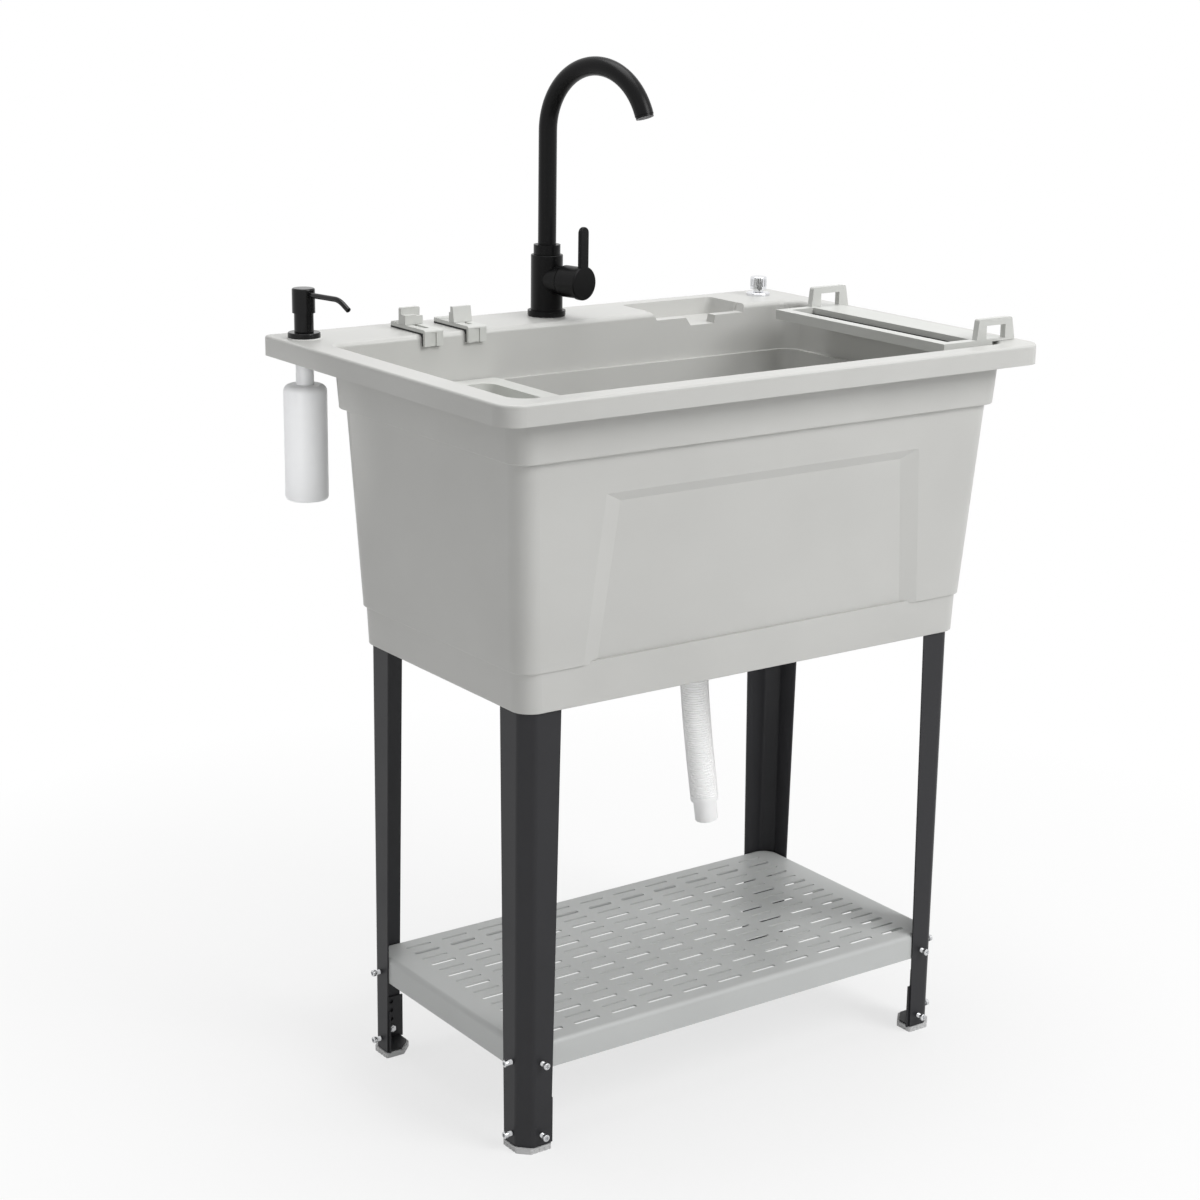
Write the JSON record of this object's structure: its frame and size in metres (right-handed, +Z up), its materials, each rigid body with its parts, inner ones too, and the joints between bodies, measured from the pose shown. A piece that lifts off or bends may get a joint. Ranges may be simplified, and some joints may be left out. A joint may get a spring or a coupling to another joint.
{
  "type": "utility laundry sink",
  "caption": "Deep moulded laundry tub on folded sheet legs with a slotted shelf, swivelling gooseneck faucet, soap pump, pop-up drain, hanging clips, lift-out rack and sliding tray.",
  "frame": {"origin": "on the floor, under the middle of the rim", "axes": "+X to the right along the sink's front, +Y to the rear, +Z up"},
  "size_m": [0.74, 0.51, 1.1705],
  "materials": {
    "tub_grey": "moulded thermoplastic with a very fine texture",
    "leg_charcoal": "fine powder coat",
    "foot_grey": "soft moulded plastic",
    "shelf_grey": "moulded plastic",
    "screw_steel": "plated steel",
    "faucet_black": "satin black coating on metal",
    "rubber_black": "soft rubber",
    "washer_steel": "plain steel",
    "brass": "turned brass",
    "cartridge_white": "moulded engineering plastic",
    "gasket_white": "soft white rubber",
    "pump_black": "glossy moulded plastic",
    "spring_steel": "spring wire",
    "bottle_white": "translucent white blown plastic",
    "chrome": "polished chrome plate",
    "hose_white": "white moulded plastic",
    "accessory_grey": "moulded thermoplastic with a very fine texture"
  },
  "bodies": {
    "frame": {"basin": "tub_grey", "leg_front_left": "leg_charcoal", "leg_front_right": "leg_charcoal", "leg_rear_left": "leg_charcoal", "leg_rear_right": "leg_charcoal", "foot_brackets": "leg_charcoal", "foot_pads": "foot_grey", "shelf": "shelf_grey", "shelf_screws": "screw_steel", "shelf_nuts": "screw_steel", "foot_screws": "screw_steel", "foot_nuts": "screw_steel", "faucet_body": "faucet_black", "faucet_base_ring": "faucet_black", "faucet_gasket": "rubber_black", "shank_washer": "washer_steel", "shank_nut": "brass", "cartridge": "cartridge_white", "pump_gasket": "gasket_white", "pump_collar": "pump_black", "pump_nut": "pump_black", "pump_cylinder": "cartridge_white", "pump_spring": "spring_steel", "dip_tube": "bottle_white", "soap_bottle": "bottle_white", "knob_plinth": "chrome", "knob_nut": "brass", "drain_flange": "chrome", "drain_gasket": "rubber_black", "drain_tailpiece": "hose_white", "drain_hose": "hose_white", "hose_cuff": "hose_white", "hose_clamp": "washer_steel", "clip_rail_1": "accessory_grey", "clip_rail_2": "accessory_grey", "clip_rubber_1": "rubber_black", "clip_rubber_2": "rubber_black"},
    "spout": {"spout_tube": "faucet_black", "spout_collar": "faucet_black", "spout_seal": "rubber_black", "aerator": "pump_black"},
    "valve stem": {"cartridge_stem": "brass"},
    "lever handle": {"lever": "faucet_black", "lever_pin": "screw_steel"},
    "pump sleeve": {"pump_sleeve": "pump_black"},
    "pump head": {"pump_head": "pump_black", "pump_rod": "pump_black"},
    "drain knob": {"drain_knob": "chrome"},
    "drain stopper": {"drain_stopper": "chrome"},
    "clip jaw 1": {"clip_jaw_1": "accessory_grey"},
    "clip jaw 2": {"clip_jaw_2": "accessory_grey"},
    "side rack": {"side_rack": "accessory_grey", "rack_rubber": "rubber_black"},
    "side tray": {"side_tray": "accessory_grey"}
  },
  "joints": [
    {"name": "spout_swivel", "type": "hinge", "parent": "frame", "child": "spout", "pos_m": [-0.0085, 0.21, 0.934], "axis": [0, 0, 1], "continuous": true},
    {"name": "lever_turn", "type": "hinge", "parent": "frame", "child": "valve stem", "pos_m": [0.00086, 0.16598, 0.905], "axis": [0.2079, -0.9781, 0], "range_deg": [-40, 40]},
    {"name": "lever_tilt", "type": "hinge", "parent": "valve stem", "child": "lever handle", "pos_m": [0.00086, 0.16598, 0.905], "axis": [0.9781, 0.2079, 0], "range_deg": [0, 20]},
    {"name": "pump_turn", "type": "hinge", "parent": "frame", "child": "pump sleeve", "pos_m": [-0.34, 0.211, 0.867], "axis": [0, 0, 1], "continuous": true},
    {"name": "pump_press", "type": "slide", "parent": "pump sleeve", "child": "pump head", "axis": [0, 0, 1], "range_m": [-0.013, 0], "stiffness_N_per_m": 400, "springref_m": 0.005, "deforming": ["pump_spring"]},
    {"name": "knob_turn", "type": "hinge", "parent": "frame", "child": "drain knob", "pos_m": [0.3215, 0.212, 0.865], "axis": [0, 0, 1], "range_deg": [0, 90]},
    {"name": "stopper_lift", "type": "slide", "parent": "frame", "child": "drain stopper", "axis": [0, 0, 1], "range_m": [0, 0.0081]},
    {"name": "clip_jaw_1_slide", "type": "slide", "parent": "frame", "child": "clip jaw 1", "axis": [0, 1, 0], "range_m": [-0.024, 0.004]},
    {"name": "clip_jaw_2_slide", "type": "slide", "parent": "frame", "child": "clip jaw 2", "axis": [0, 1, 0], "range_m": [-0.014, 0.014]},
    {"name": "rack_lift", "type": "slide", "parent": "frame", "child": "side rack", "axis": [0, 0, 1], "range_m": [0, 0.1]},
    {"name": "tray_slide", "type": "slide", "parent": "frame", "child": "side tray", "axis": [1, 0, 0], "range_m": [0, 0.42]}
  ],
  "couplings": [
    {"joint": "stopper_lift", "follows": "knob_turn", "m_per_rad": 0.005093}
  ]
}
